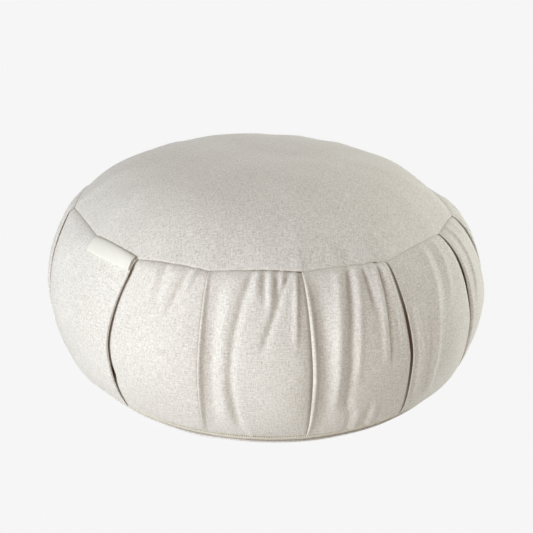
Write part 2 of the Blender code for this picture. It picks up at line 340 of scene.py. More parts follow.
def gathers_behind(rng):
    """Rows like the crease table's, for the panels round the back, from a seeded draw."""
    rows = []
    tops = np.append(pleat_column("top"), PLEATS[0][0] + 360)[FIRST_BEHIND:]
    for start, end in zip(tops, tops[1:]):
        for place in range(GATHERS_IN_A_PANEL):
            share = (place + 0.5 + rng.uniform(-0.25, 0.25)) / GATHERS_IN_A_PANEL
            azimuth = start + (end - start) * share
            drift = rng.uniform(-2.5, 2.5)
            height = rng.choice((-1.0, 1.0)) * rng.uniform(0.5, 1.3)
            rows.append((azimuth, azimuth + drift, azimuth + 1.5 * drift, -0.1,
                         rng.uniform(0.15, 0.65), height, rng.uniform(1.5, 2.8)))
        for _ in range(2):
            azimuth = start + (end - start) * rng.uniform(0.2, 0.8)
            rows.append((azimuth, azimuth, azimuth, rng.uniform(0.65, 0.8), 1.1,
                         rng.uniform(-0.8, 0.8), rng.uniform(1.5, 2.2)))
    return tuple(rows)


ALL_CREASES = CREASES + gathers_behind(np.random.default_rng(11))
print(len(ALL_CREASES), "creases")


def crease_height(azimuth, share, radius):
    """Sum of the creases: each a Gaussian across its line, faded in and out along it."""
    total = np.zeros(np.broadcast(azimuth, share, radius).shape)
    for top, middle, bottom, start, end, height, width in ALL_CREASES:
        line = through_three(top, middle, bottom, share)
        away = np.radians(apart(azimuth, line)) * radius
        shown = smooth(start - 0.02, start + 0.12, share) * (1 - smooth(end - 0.14, end + 0.02, share))
        total += height * shown * bell(away, width)
    return total


# %% [markdown]
# ## Loose filling
# Kapok or buckwheat hulls never press evenly, so the cloth also swells and sinks by
# fractions of a millimetre over a few centimetres. A sum of waves with random phases
# does that, and whole numbers of waves round the cushion make it close on itself.

# %% Soft unevenness
def wave_sum(draw, count, rng, size):
    """Sum of part * sin(angle + phase) over drawn waves, size mm in all."""
    total, weight = 0.0, 0.0
    for _ in range(count):
        angle, part = draw()
        total = total + part * np.sin(angle + rng.uniform(0, 2 * math.pi))
        weight += part ** 2
    return size * total / math.sqrt(weight)


def unevenness(azimuth, along, seed, size):
    """Waves k a + q s round and down the side, each smaller the shorter it is."""
    rng = np.random.default_rng(seed)

    def draw():
        """A whole number of waves round, and some way down."""
        around, down = rng.integers(-26, 27), rng.uniform(-0.16, 0.16)
        return (np.radians(azimuth) * around + along * down,
                1 / (1 + 0.06 * abs(around) + 12 * abs(down)))

    return wave_sum(draw, 22, rng, size)


def disc_unevenness(azimuth, radius, seed, size):
    """The same for a disc: plane waves over x and y, so that nothing meets at a pole."""
    rng = np.random.default_rng(seed)
    x, y = radius * np.sin(np.radians(azimuth)), -radius * np.cos(np.radians(azimuth))

    def draw():
        """A plane wave of some length and heading."""
        wave, heading = rng.uniform(0.03, 0.22), rng.uniform(0, 2 * math.pi)
        return wave * (x * math.cos(heading) + y * math.sin(heading)), 1 / (1 + 14 * wave)

    return wave_sum(draw, 26, rng, size)


# %% [markdown]
# ## Grids and meshes
# Every surface here is a grid of points. Round bodies close on themselves and end in a
# point at the top and the bottom. Flat strips are two grids, a face and a back, walled
# along their edges. The UV map holds metres of cloth, so a weave keeps its real size.

# %% Grid helpers
def grid_faces(rows, columns, round_about):
    """Corner numbers of a grid's faces, facing out when rows run down and columns right."""
    across = columns if round_about else columns - 1
    row, col = np.meshgrid(np.arange(rows - 1), np.arange(across), indexing="ij")
    after = (col + 1) % columns
    corners = (row * columns + col, (row + 1) * columns + col,
               (row + 1) * columns + after, row * columns + after)
    return np.stack(corners, axis=-1).reshape(-1, 4)


def add_object(name, data):
    """A new object in the scene that shows the data."""
    made = bpy.data.objects.new(name, data)
    bpy.context.scene.collection.objects.link(made)
    return made


def add_piece(name, points, faces, cloth):
    """Make an object of points (metres) and faces, with cloth as UV metres for each corner."""
    mesh = bpy.data.meshes.new(name)
    mesh.from_pydata(points.reshape(-1, 3).tolist(), [], [face.tolist() for face in faces])
    layer = mesh.uv_layers.new(name="cloth")
    layer.data.foreach_set("uv", np.ascontiguousarray(cloth, dtype=np.float32).ravel())
    mesh.shade_smooth()
    mesh.validate()
    print(f"{name}: {len(points)} points, {len(mesh.polygons)} faces")
    return add_object(name, mesh)


def store_painted_shade(piece, painted_shade, poles):
    """Store for each point how far painted shade darkens it, in folds and beside seams, from 0 to 1."""
    values = np.append(painted_shade, poles)
    layer = piece.data.attributes.new("painted_shade", "FLOAT", "POINT")
    layer.data.foreach_set("value", np.ascontiguousarray(values, dtype=np.float32))


def closed_faces(rows, columns):
    """Faces of a closed body: quads, and a fan of triangles to a point at each end."""
    col = np.arange(columns)
    after = (col + 1) % columns
    points, base = rows * columns, (rows - 1) * columns
    top = np.stack([np.full(columns, points), col, after], axis=-1)
    bottom = np.stack([np.full(columns, points + 1), base + after, base + col], axis=-1)
    return grid_faces(rows, columns, True), top, bottom


def turned_piece(name, rings, flat, turn=0.0):
    """A closed body from rings of points (row, column, 3), top first.

    flat is its map in metres of cloth, (row, column, 2), and turn is how far that map
    runs on in one round, so that the last column's faces end there and not at 0.
    """
    rows, columns = rings.shape[:2]
    quads, top, bottom = closed_faces(rows, columns)
    points, flat = [np.concatenate([grid.reshape(-1, grid.shape[-1]), grid[:1].mean(axis=1),
                                    grid[-1:].mean(axis=1)]) for grid in (rings, flat)]
    quad_uv = flat[quads]
    quad_uv[quads[:, 0] % columns == columns - 1, 2:, 0] += turn
    cloth = np.concatenate([part.reshape(-1, 2) for part in (quad_uv, flat[top], flat[bottom])])
    return add_piece(name, points, [*quads, *top, *bottom], cloth)


def disc_map(azimuth, reach):
    """The flat map of a disc: each ring's reach in metres, turned to every azimuth."""
    turn, reach = np.radians(azimuth), np.asarray(reach)[:, None]
    return np.stack([reach * np.sin(turn), -reach * np.cos(turn)], axis=-1)


def strip_piece(name, face, back, around, down):
    """A closed strip between two grids (row, column, 3), walled along its four edges."""
    rows, columns = face.shape[:2]
    quads = grid_faces(rows, columns, False)
    half = rows * columns
    row_edge, col_edge = np.arange(rows), np.arange(columns)
    border = np.concatenate([col_edge, row_edge[1:] * columns + columns - 1,
                             (rows - 1) * columns + col_edge[-2::-1],
                             row_edge[-2:0:-1] * columns])
    after = np.roll(border, -1)
    walls = np.stack([border, after, after + half, border + half], axis=-1)
    faces = np.concatenate([quads, quads[:, ::-1] + half, walls])
    uv = np.tile(np.stack(np.broadcast_arrays(around, down), axis=-1).reshape(-1, 2), (2, 1))
    points = np.concatenate([face.reshape(-1, 3), back.reshape(-1, 3)])
    return add_piece(name, points, list(faces), uv[faces].reshape(-1, 2))


# %% [markdown]
# ## The pleated strip
# The strip is one grid. Going round, its columns cross each panel and then follow the Z
# of each pleat: in under the fold, back along the flap's underside, and over the rolled
# edge. Going down, its rows come out of the seam, roll over its edge, run down the side
# and roll in again above the zip. Near the seams the folds are sewn flat, so their
# measures shrink there, as sin(pi * share)^0.6 does.

# %% One fold's cross-section
PANEL_STEPS = 48
ROLL_TURNS = np.radians(np.linspace(-90, -270, 9))
FLAP_STEPS = np.array((0, 0.06, 0.14, 0.3, 0.6, 1.0))
MOUTHS = (
    # which fold gapes, counted from 0, at what share of the side, how much wider in mm, over what share
    (1, 0.10, 1.0, 0.07),
    (1, 0.76, 1.8, 0.045),
    (4, 0.45, 1.2, 0.16),
    (5, 0.33, 1.5, 0.14),
)


def fold_measures(share):
    """Gap, roll, rise, dip and bead of the pleats at each share: (measure, row, pleat)."""
    swell = np.sin(np.pi * np.clip(share, 0.004, 0.996)) ** 0.6
    gap = pleat_column("gap") * swell + 0.08
    for fold, open_at, wider, reach in MOUTHS:
        gap[:, fold] += wider * bell(share[:, 0] - open_at, reach)
    return np.stack([gap, pleat_column("roll") * (0.1 + 0.9 * swell), pleat_column("rise") * swell,
                     pleat_column("dip") * swell ** 1.5, pleat_column("bead") + 0 * swell])


def trough_beside(distance, dip):
    """The shallow trough beside a fold: a bell 5 mm wide about a line 9 mm in."""
    return dip * bell(distance - 9.0, 5.0)


def bead_beside(distance, roll, rise, bead):
    """The bead along a folded edge: level over the roll, then half a bell."""
    return rise * bell(np.maximum(distance - roll, 0), bead)


def fold_section(gap, roll, rise, dip, bead):
    """The Z of a fold whose right-hand panel is on top: sideways and outward mm.

    Under the fold the cloth lies at rise - 2 roll - gap. It runs in by the flap's
    width, turns, comes back to the roll's foot, and goes round the roll, whose section
    is a superellipse (|cos|^s, |sin|^s) with s the squareness. Both hidden layers stay
    0.7 mm or more under the bead above them, and the trough beside the fold presses all
    its layers down together. Every measure has the shape (row, pleat, 1).
    """
    floor = rise - 2 * roll - gap
    one = np.ones_like(floor)

    def below_face(inside, space):
        """The bead's height at a distance in from the line, less a space that opens over 3 mm."""
        return bead_beside(inside, roll, rise, bead) - space * smooth(0, 3, inside)

    under_t = FLAP * FLAP_STEPS * one
    under_n = np.minimum(floor, below_face(under_t, 1.0))
    turn_t = (FLAP + FLAP_TURN) * one
    turn_n = under_n[..., -1:] + 0.12
    back_t = FLAP * FLAP_STEPS[:1:-1] * one
    back_n = floor + 0.25 + (rise - 2 * roll - floor - 0.25) * (FLAP - back_t) / (FLAP - roll)
    back_n = np.minimum(back_n, below_face(back_t, 0.7))
    square = pleat_column("square")[:, None]
    roll_t = roll + roll * squared_off(np.cos(ROLL_TURNS), square)
    roll_n = rise - roll + roll * squared_off(np.sin(ROLL_TURNS), square)
    sideways = np.concatenate([under_t, turn_t, back_t, roll_t], axis=-1)
    outward = np.concatenate([under_n, turn_n, back_n, roll_n], axis=-1)
    outward = outward - trough_beside(sideways, dip)
    mirrored = ON_TOP[:, None] < 0
    return (np.where(mirrored, -sideways[..., ::-1], sideways),
            np.where(mirrored, outward[..., ::-1], outward))


def beside_fold(distance, on_top, gap, roll, rise, dip, bead):
    """Height of a panel beside a fold: a bead and a dip if it is on top, else a dive."""
    raised = bead_beside(distance, roll, rise, bead) - trough_beside(distance, dip)
    dive = (rise - 2 * roll - gap) * np.exp(-(distance / (1.2 + 2.2 * bead)) ** 1.3)
    return np.where(on_top, raised, dive)


# %% The columns round the strip
# painted shade over the columns of a fold, in their order: full inside it, fading over the roll
PAINTED_SHADE_IN_FOLD = np.array([0.8] + [1.0] * 11 + [0.8, 0.45, 0.15] + [0.0] * 5)
MOUTH_SHADE = 1.2             # how far out of a mouth, in mm, painted shade still darkens the cloth


def strip_grid(share):
    """Azimuth and outward offset of every column at each share of the side.

    share has the shape (rows, 1). Returns azimuth in degrees, offset in mm, how far
    across its panel each column is, and how much painted shade darkens it, all (rows, columns).
    """
    bottoms = pleat_column("bottom")
    radius, height, _, _ = outline(share * strip_length(bottoms))
    lines = through_three(pleat_column("top"), pleat_column("belly"), bottoms,
                          (TOP_SEAM_HEIGHT - height) / (TOP_SEAM_HEIGHT - BOTTOM_SEAM_HEIGHT))
    following = np.roll(np.arange(PLEAT_TOTAL), -1)
    ends = lines[:, following] + np.where(following == 0, 360.0, 0.0)
    width = (np.radians(ends - lines) * radius)[..., None]
    lines, radius = lines[..., None], radius[..., None]
    measures = fold_measures(share)[..., None]
    next_measures = measures[:, :, following]
    over_start, over_end = ON_TOP[:, None] > 0, ON_TOP[following, None] < 0

    def joined(at_fold, on_panel):
        """The columns of each fold and of the panel after it, in one row."""
        return np.concatenate([at_fold, on_panel], axis=-1).reshape(len(share), -1)

    fold_t, fold_n = fold_section(*measures)
    fold_across = np.where(fold_t >= 0, fold_t / width, 1 + fold_t / np.roll(width, 1, axis=1))
    first = np.where(over_start, measures[1], 0.0)
    final = np.where(over_end, next_measures[1], 0.0)
    step = eased(np.linspace(0, 1, PANEL_STEPS + 2)[1:-1], 0.45)
    place = first + step * (width - first - final)
    panel_n = beside_fold(place, over_start, *measures) \
        + beside_fold(width - place, over_end, *next_measures)
    # painted shade: inside a fold, stronger where its mouth stands wide, and on the cloth just beside
    # an open mouth
    fold_painted_shade = np.where(over_start, PAINTED_SHADE_IN_FOLD, PAINTED_SHADE_IN_FOLD[::-1]) \
        * (0.5 + 0.5 * smooth(0.5, 2.4, measures[0]))
    mouth_painted_shade = np.where(over_start, 0.0, bell(place, MOUTH_SHADE)) \
        + np.where(over_end, 0.0, bell(width - place, MOUTH_SHADE))
    return (joined(lines + np.degrees(fold_t / radius), lines + np.degrees(place / radius)),
            joined(fold_n, panel_n),
            joined(fold_across, place / width),
            joined(fold_painted_shade, 0.5 * mouth_painted_shade))


# %% The strip's rows
SIDE_ROWS = 86
SEAM_START = 0.3              # the strip begins this far out from the seam line
SEAM_PINCH = 0.25             # is pressed down this far by the seam
PINCH_WIDTH = 1.6             # over this width
SEAM_SHADE = 0.3              # and is darkened this much beside it by painted shade
SHADE_WIDTH = 1.2             # over this width
EDGE_ROLL = 0.6
EDGE_TURNS = np.radians((112, 84, 56, 28))


def panel_swell(across, share):
    """A panel's edges are drawn in by 1.4 mm, its middle and its seams aren't."""
    return 1.4 * (4 * across * (1 - across) - 1) * np.sin(np.pi * np.clip(share, 0, 1)) ** 0.8


def strip_surface():
    """The side's rows of azimuth, radius and height, edge rolls and all, and the painted shade on them.
    """
    share = eased(np.linspace(0, 1, SIDE_ROWS), 0.3)[:, None]
    azimuth, offset, across, painted_shade = strip_grid(share)
    travel = SEAM_START + share * (strip_length(azimuth[-1]) - SEAM_START)
    radius, height, normal_r, normal_z = outline(travel)
    offset = offset + panel_swell(across, share) - SEAM_PINCH * bell(travel, PINCH_WIDTH)
    offset = offset + crease_height(azimuth, share, radius) * (0.2 + 0.8 * smooth(0, 0.07, share))
    offset = offset + unevenness(azimuth, travel, 5, 0.28) * smooth(0, 0.08, share)
    seam_r, seam_z = seam_pull(azimuth, travel)
    radius = radius + offset * normal_r + seam_r
    height = height + offset * normal_z + seam_z

    def edge(row, side, turns):
        """A quarter roll at an edge: centre one roll inside the face, turned inwards."""
        nr, nz = normal_r[row], normal_z[row]
        return [(azimuth[row],
                 radius[row] + EDGE_ROLL * ((np.cos(turn) - 1) * nr - side * np.sin(turn) * nz),
                 height[row] + EDGE_ROLL * ((np.cos(turn) - 1) * nz + side * np.sin(turn) * nr))
                for turn in turns]

    upper, lower = edge(0, 1, EDGE_TURNS), edge(-1, -1, EDGE_TURNS[::-1])
    rows = upper + list(zip(azimuth, radius, height)) + lower
    # painted shade beside the upper seam, and full painted shade on both edge rolls
    painted_shade = np.maximum(painted_shade, SEAM_SHADE * bell(travel, SHADE_WIDTH))
    painted_shade = np.pad(painted_shade, ((len(upper), len(lower)), (0, 0)), constant_values=1.0)
    return [np.stack([row[part] for row in rows]) for part in range(3)], painted_shade


# %% [markdown]
# ## The filled body
# Under the strip the cushion goes on as the filling's own form, hidden below the two
# discs. Making the strip and that form one closed body gives a true filled pad, and
# nothing can be seen through a pleat's mouth but more cloth.

# %% The body's hidden crown and floor
CLOTH = 1.5
CROWN_INNER = (0.3, 0.6, 0.85, 0.96)
CROWN_DEPTH = 4.5             # the hidden crown lies this far below the top disc's face
BODY_INSET = 2.2              # the hidden floor's rim, in from the foot's
BODY_FLOOR = 2.4
FLOOR_INNER = (0.985, 0.9, 0.8, 0.5)


def crown_height(share):
    """Height of the crown at a share of the seam's radius: a superellipse-like dome."""
    return TOP_SEAM_HEIGHT + (CROWN_HEIGHT - TOP_SEAM_HEIGHT) * (1 - share ** CROWN_FULLNESS)


def make_side_cover():
    """The closed pad: hidden crown, pleated strip, recess behind the zip, hidden floor."""
    (azimuth, radius, height), painted_shade = strip_surface()
    crown = [(azimuth[0], radius[0] * share,
              crown_height(share) - CROWN_DEPTH * (1 + share ** 8 * 0.3)) for share in CROWN_INNER]
    rim = FOOT_RIM - BODY_INSET
    recess = [(azimuth[-1], radius[-1] * (1 - share) + rim * share - 0.6,
               height[-1] * (1 - share) + (BOTTOM_SEAM_HEIGHT + 0.2) * share)
              for share in (0.33, 0.66, 1.0)]
    floor = [(azimuth[-1], rim * share,
              BODY_FLOOR + (BOTTOM_SEAM_HEIGHT - BODY_FLOOR) * smooth(0.76, 1.0, share))
             for share in FLOOR_INNER]
    rings = crown + list(zip(azimuth, radius, height)) + recess + floor
    points = np.stack([placed(*ring) for ring in rings])
    belly = points[len(crown) + len(EDGE_TURNS) + SIDE_ROWS // 2]
    chord = np.linalg.norm(np.roll(belly, -1, axis=0) - belly, axis=1)
    around = np.append(0.0, np.cumsum(chord))
    walk = np.append(0.0, np.cumsum(np.linalg.norm(np.diff(points, axis=0), axis=2).mean(axis=1)))
    flat = np.stack(np.broadcast_arrays(around[:-1], walk[:, None]), axis=-1)
    piece = turned_piece("side_cover", points, flat, around[-1])
    # painted shade: full on the hidden crown, recess and floor, and at both poles
    hidden = ((len(crown), len(recess) + len(floor)), (0, 0))
    store_painted_shade(piece, np.pad(painted_shade, hidden, constant_values=1.0), (1.0, 1.0))
    return piece


side_cover = make_side_cover()

# %% [markdown]
# ## The top disc
# The top disc is stretched over the crown and ends in a small roll beside the seam,
# where the seam allowance is turned under. It is a sheet: a face, the roll, and a back
# 1.5 mm below. Gathers of the strip print through as small bumps just inside the seam.

# %% The top disc
TOP_COLUMNS = 476
TOP_RINGS = 54
TOP_BUMPS = (
    # azimuth, distance in from the seam in mm, height, width round, width inwards
    (9.2, 3.5, 0.7, 3.0, 5.0),
    (11.6, 4.0, -0.5, 3.0, 6.0),
    (18.8, 5.0, 0.8, 4.0, 8.0),
    (22.4, 6.0, -0.7, 4.0, 9.0),
    (28.4, 4.5, 0.9, 3.5, 7.0),
    (31.8, 6.0, -0.7, 4.0, 9.0),
    (-43.0, 15.0, -0.7, 12.0, 9.0),
    (-21.0, 8.0, -0.5, 6.0, 8.0),
    (-28.0, 9.0, 0.4, 7.0, 8.0),
    (48.0, 9.0, -0.5, 8.0, 9.0),
    (57.0, 6.0, 0.5, 5.0, 8.0),
    (142.0, 38.0, -2.0, 45.0, 26.0),
)
RIM_ROLL = 0.95
RIM_SLOPE = math.radians(46)  # the face's fall where the roll begins
RIM_TURNS = np.radians((22, 44, 66, 88, 110, 134))
RIM_PAINTED_SHADE = (0.0, 0.1, 0.3, 0.6, 0.9, 1.0)     # how much painted shade darkens each of those rings
RIM_OVERLAP = 0.05            # the face ends this far outside the seam line
RIM_LIFT = 0.55               # and this far above it
TOP_BACK = (0.97, 0.9, 0.8, 0.7, 0.6, 0.3)      # shares of the seam at the back's rings
TOP_MAP_RADIUS = 0.155        # the disc's radius laid flat, in metres


def make_top_cover():
    """Face rings from the middle out, the rolled rim, then back rings to the middle."""
    azimuth = np.linspace(0, 360, TOP_COLUMNS, endpoint=False)
    seam_r, seam_z = seam_offset(azimuth)
    step = np.linspace(0, 1, TOP_RINGS + 1)[1:, None]
    share = 0.62 * step + 0.38 * np.sin(0.5 * np.pi * step)
    rim = TOP_SEAM_RADIUS + seam_r + RIM_OVERLAP
    radius = rim * share
    height = crown_height(share) + seam_z * share ** 10 + RIM_LIFT * share ** 30
    height = height + disc_unevenness(azimuth, radius, 21, 0.40)
    for place, inside, tall, wide, deep in TOP_BUMPS:
        away = np.radians(apart(azimuth, place)) * radius
        height = height + tall * bell(away, wide) * bell(rim - radius - inside, deep)
    face = [(azimuth, ring_r, ring_z) for ring_r, ring_z in zip(radius, height)]
    roll = [(azimuth, radius[-1] + RIM_ROLL * (math.sin(RIM_SLOPE + turn) - math.sin(RIM_SLOPE)),
             height[-1] + RIM_ROLL * (math.cos(RIM_SLOPE + turn) - math.cos(RIM_SLOPE)))
            for turn in RIM_TURNS]
    back = []
    for part in TOP_BACK:
        level = np.array([np.interp(part, share[:, 0], column) for column in height.T])
        back.append((azimuth, rim * part - 0.8 * part, level - CLOTH - 0.4 * part))
    points = np.stack([placed(*ring) for ring in face + roll + back])
    reach = np.concatenate([share[:, 0], np.full(len(roll), 1.01), TOP_BACK]) * TOP_MAP_RADIUS
    piece = turned_piece("top_cover", points, disc_map(azimuth, reach))
    # painted shade: none on the face, growing round the rolled rim, full on the hidden back
    painted_shade = np.concatenate([np.zeros(len(face)), RIM_PAINTED_SHADE, np.ones(len(back))])
    store_painted_shade(piece, np.repeat(painted_shade, TOP_COLUMNS), (0.0, 1.0))
    return piece


top_cover = make_top_cover()

# %% [markdown]
# ## The bottom disc
# The bottom disc lies flat under the filling and turns up at its rim to meet the seam.

# %% The bottom disc
BOTTOM_COLUMNS = 240
BOTTOM_RINGS = np.array((0.25, 0.5, 0.7, 0.78, 0.84, 0.9, 0.95, 0.985))
BOTTOM_INSET = 1.2            # the disc's rim, in from the foot's


def make_bottom_cover():
    """Back rings out to the rim, then the face that lies on the floor, back to the middle."""
    azimuth = np.linspace(0, 360, BOTTOM_COLUMNS, endpoint=False)
    rim = FOOT_RIM - BOTTOM_INSET
    ripple = unevenness(azimuth, 0.0, 33, 0.35)

    def ring(share, thick, wider=0.0):
        """A ring at a share of the rim: flat, then a smooth rise, plus a share of the cloth."""
        rise = (BOTTOM_SEAM_HEIGHT - CLOTH) * smooth(FLAT_RADIUS / rim, 1.06, share)
        level = rise + ripple * smooth(0.85, 1.0, share)
        return azimuth, rim * share + wider, level + CLOTH * thick

    back = [ring(part, 0.9) for part in BOTTOM_RINGS]
    roll = [ring(1.0, 0.75), ring(1.0, 0.4, 0.4), ring(1.0, 0.1)]
    face = [ring(part, 0.0) for part in BOTTOM_RINGS[::-1]]
    points = np.stack([placed(*part) for part in back + roll + face])
    reach = np.concatenate([BOTTOM_RINGS, (1.0, 1.01, 1.0), BOTTOM_RINGS[::-1]])
    return turned_piece("bottom_cover", points, disc_map(azimuth, reach * rim * MM))


bottom_cover = make_bottom_cover()

# %% [markdown]
# ## The zip
# A zip is two woven tapes with a coil between them. It runs along the front below the
# strip's edge and faces out and down. The tapes are ribbed ribbons, and the coil is a
# row of small rounded bars, because at this size each bar can be seen.

# %% Where the zip lies
ZIP_RADIUS = 159.0            # lengths along the zip are measured here
ZIP_RECESS = 1.5              # how deep the tapes' backs lie in
ZIP_UPPER = np.array([float(side_radius(ZIP_TOP)), ZIP_TOP])
ZIP_LOWER = np.array([FOOT_RIM, BOTTOM_SEAM_HEIGHT])
zip_down = (ZIP_LOWER - ZIP_UPPER) / np.linalg.norm(ZIP_LOWER - ZIP_UPPER)


def zip_place(azimuth, across, raised):
    """The point across the zip and raised out of its recess, both in mm, at an azimuth."""
    (down_r, down_z), level = zip_down, raised - ZIP_RECESS
    return placed(azimuth, ZIP_UPPER[0] + down_r * across - down_z * level,
                  ZIP_UPPER[1] + down_z * across + down_r * level)


# %% The tapes
TAPE_COLUMNS = 330
TAPE_ACROSS = 9
TAPE_LEVEL = 0.55             # the face of a tape at its edges, above its back
TAPE_CROWN = 0.35             # and how much higher its middle is
TAPE_RIBS = 3.5
RIB_HEIGHT = 0.10
TAPE_MAP_RADIUS = 0.16        # metres of tape for each radian


def make_tape(name, start, width, seed):
    """A ribbed ribbon 1 mm thick: rows across it, columns along it, a wavy fine edge."""
    azimuth = np.linspace(ZIP_FROM - ZIP_TUCK, ZIP_TO + ZIP_TUCK, TAPE_COLUMNS)
    step = np.linspace(0, 1, TAPE_ACROSS)[:, None]
    wave = unevenness(azimuth, 0.0, seed, 0.22)
    across = start + width * step + wave * 0.6
    rib = RIB_HEIGHT * np.sin(np.pi * 2 * step * TAPE_RIBS)
    crown = TAPE_CROWN * (1 - (2 * step - 1) ** 6)
    face = zip_place(azimuth, across, TAPE_LEVEL + crown + rib + 0.25 * wave)
    back = zip_place(azimuth, across, 0.0)
    return strip_piece(name, face, back, np.radians(azimuth) * TAPE_MAP_RADIUS, step * width * MM)


tape_upper = make_tape("tape_upper", 0.6, 4.2, 41)
tape_lower = make_tape("tape_lower", 9.0, 4.0, 42)

# %% The coil
COIL_START = 5.2
COIL_WIDTH = 3.2
COIL_PITCH = 1.5
COIL_LEVEL = 0.65             # how far the bars' middles stand above the tapes' backs
BAR_HALVES = (0.45 * COIL_WIDTH, 0.46 * COIL_PITCH, 0.62)
BAR_ROWS = 4
BAR_SIDES = 8


def make_coil():
    """Rounded bars side by side: each is an ellipsoid squared off along its length.

    A point of a bar is (a |cos t|^0.6 cos p, b sin t cos p, c sin p) about its middle,
    where a, b and c are half its length, its breadth and its height.
    """
    half_length, half_breadth, half_height = BAR_HALVES
    length = math.radians(ZIP_TO - ZIP_FROM + 2 * ZIP_TUCK) * ZIP_RADIUS
    count = int(length / COIL_PITCH)
    middles = np.linspace(ZIP_FROM - ZIP_TUCK + 0.4, ZIP_TO + ZIP_TUCK - 0.4, count)
    turns = np.linspace(0, 360, BAR_SIDES, endpoint=False)
    lift, turn = np.meshgrid(np.radians(np.linspace(-68, 68, BAR_ROWS)), np.radians(turns),
                             indexing="ij")
    along = half_length * squared_off(np.cos(turn), 0.6) * np.cos(lift)
    beside = half_breadth * np.sin(turn) * np.cos(lift)
    shift = 0.25 * np.where(np.arange(count) % 2 == 0, 1.0, -1.0)[:, None, None]
    across = COIL_START + COIL_WIDTH / 2 + shift + along
    azimuth = middles[:, None, None] + np.degrees(beside / ZIP_RADIUS)
    points = zip_place(azimuth, across, COIL_LEVEL + half_height * np.sin(lift))
    lows, highs = points[:, 0].mean(axis=1), points[:, -1].mean(axis=1)
    each = np.concatenate([points.reshape(count, -1, 3), lows[:, None], highs[:, None]], axis=1)
    starts = (np.arange(count) * each.shape[1])[:, None, None]
    # the rows of a bar run upwards, so its faces are turned the other way round
    quads, top, bottom = [np.roll(part[:, ::-1], 1, axis=1)
                          for part in closed_faces(BAR_ROWS, BAR_SIDES)]
    quads = (quads + starts).reshape(-1, 4)
    tris = (np.concatenate([top, bottom]) + starts).reshape(-1, 3)
    flat = np.zeros((quads.size + tris.size, 2))
    return add_piece("coil", each.reshape(-1, 3), [*quads, *tris], flat)


coil = make_coil()

# %% [markdown]
# ## The label
# The label is one tape folded in half and caught in the upper seam. Its section is a
# long U lying on the cloth: out along the top layer, round the fold, and back beneath.
# The loose corner beside the pleat curls up a little.

# %% The label
LABEL_COLUMNS = 90
LABEL_STEPS = 15              # rows of each layer
LABEL_TAPE = 0.4              # the tape's thickness
LABEL_FOLD = 0.35             # and the fold's radius
LABEL_LIFT = 0.35             # how far it lies off the cloth
LABEL_CURL = 2.2              # how far its loose corner curls up
LABEL_SLANT = 1.5             # degrees that its start leans by at the fold
LABEL_TUCK = 0.8              # how deep the seam pulls it down
LABEL_MAP_RADIUS = 0.15       # metres of tape for each radian


def make_label():
    """The U section carried round the seam: distance out from the seam and height."""
    out_steps = np.linspace(-0.5, LABEL_WIDTH - LABEL_FOLD, LABEL_STEPS)
    turns = np.radians(np.linspace(70, -70, 6))
    flat = np.ones(LABEL_STEPS)
    distance = np.concatenate([out_steps, out_steps[-1] + LABEL_FOLD * np.cos(turns),
                               out_steps[::-1]])
    outward = np.concatenate([flat, np.sin(turns), -flat])
    forward = np.concatenate([0 * flat, np.cos(turns), 0 * flat])
    raised = LABEL_FOLD * (1 + outward)
    azimuth = np.linspace(LABEL_FROM, LABEL_TO, LABEL_COLUMNS)[None, :]
    along = np.linspace(0, 1, LABEL_COLUMNS)[None, :]
    free = np.clip(distance / LABEL_WIDTH, 0, 1)[:, None]
    grids = []
    for thick in (LABEL_TAPE, 0.0):
        travel = (distance + forward * thick)[:, None] + 0 * along
        lift = (raised + outward * thick)[:, None] + LABEL_LIFT
        lift = lift + LABEL_CURL * free * along ** 6 + 0.5 * free * np.sin(3.2 * along + 0.6)
        lift = lift + panel_swell(between(azimuth, pleat_column("top"))[1], travel / ZIP_TRAVEL)
        radius, height, normal_r, normal_z = outline(np.clip(travel, 0, None))
        seam_r, seam_z = seam_pull(azimuth, travel)
        radius = radius + lift * normal_r + seam_r + np.clip(travel, None, 0)
        height = height + lift * normal_z + seam_z - LABEL_TUCK * np.exp(-travel)
        grids.append(placed(azimuth + LABEL_SLANT * free * (1 - along), radius, height))
    down = np.append(0, np.cumsum(np.hypot(np.diff(distance), np.diff(raised)))) * MM
    return strip_piece("label_tape", *grids, np.radians(azimuth) * LABEL_MAP_RADIUS, down[:, None])


label_tape = make_label()

# %% [markdown]
# ## Shared surface effects
# Three effects are used more than once, so each is a node group with named inputs: a
# plain weave, the heathered mix of light and dark fibres, and the small flecks of husk
# that unbleached yarn carries. Each puts out plain values, which a material mixes in.

# %% Node helpers
VECTOR, FLOAT = "NodeSocketVector", "NodeSocketFloat"


def add_node(tree, kind, inputs=None, **settings):
    """A new node: settings by name, and inputs fed by sockets or plain values."""
    node = tree.nodes.new("ShaderNode" + kind)
    for title, value in settings.items():
        setattr(node, title, value)
    for slot, value in (inputs or {}).items():
        if isinstance(value, bpy.types.NodeSocket):
            tree.links.new(value, node.inputs[slot])
        else:
            node.inputs[slot].default_value = value
    return node


def new_group(name, inputs, outputs):
    """A group with float or vector sockets: its tree, what it is given and what it puts out."""
    tree = bpy.data.node_groups.new(name, "ShaderNodeTree")
    for title, kind, value in inputs:
        socket = tree.interface.new_socket(title, in_out="INPUT", socket_type=kind)
        if value is not None:
            socket.default_value = value
    for title in outputs:
        tree.interface.new_socket(title, in_out="OUTPUT", socket_type=FLOAT)
    return tree, tree.nodes.new("NodeGroupInput").outputs, tree.nodes.new("NodeGroupOutput").inputs


def maths(tree, operation, *values):
    """A Math node's result."""
    return add_node(tree, "Math", dict(enumerate(values)), operation=operation).outputs[0]


def weighted(tree, first, weight, second, other_weight):
    """first * weight + second * other_weight."""
    return maths(tree, "ADD", maths(tree, "MULTIPLY", first, weight),
                 maths(tree, "MULTIPLY", second, other_weight))


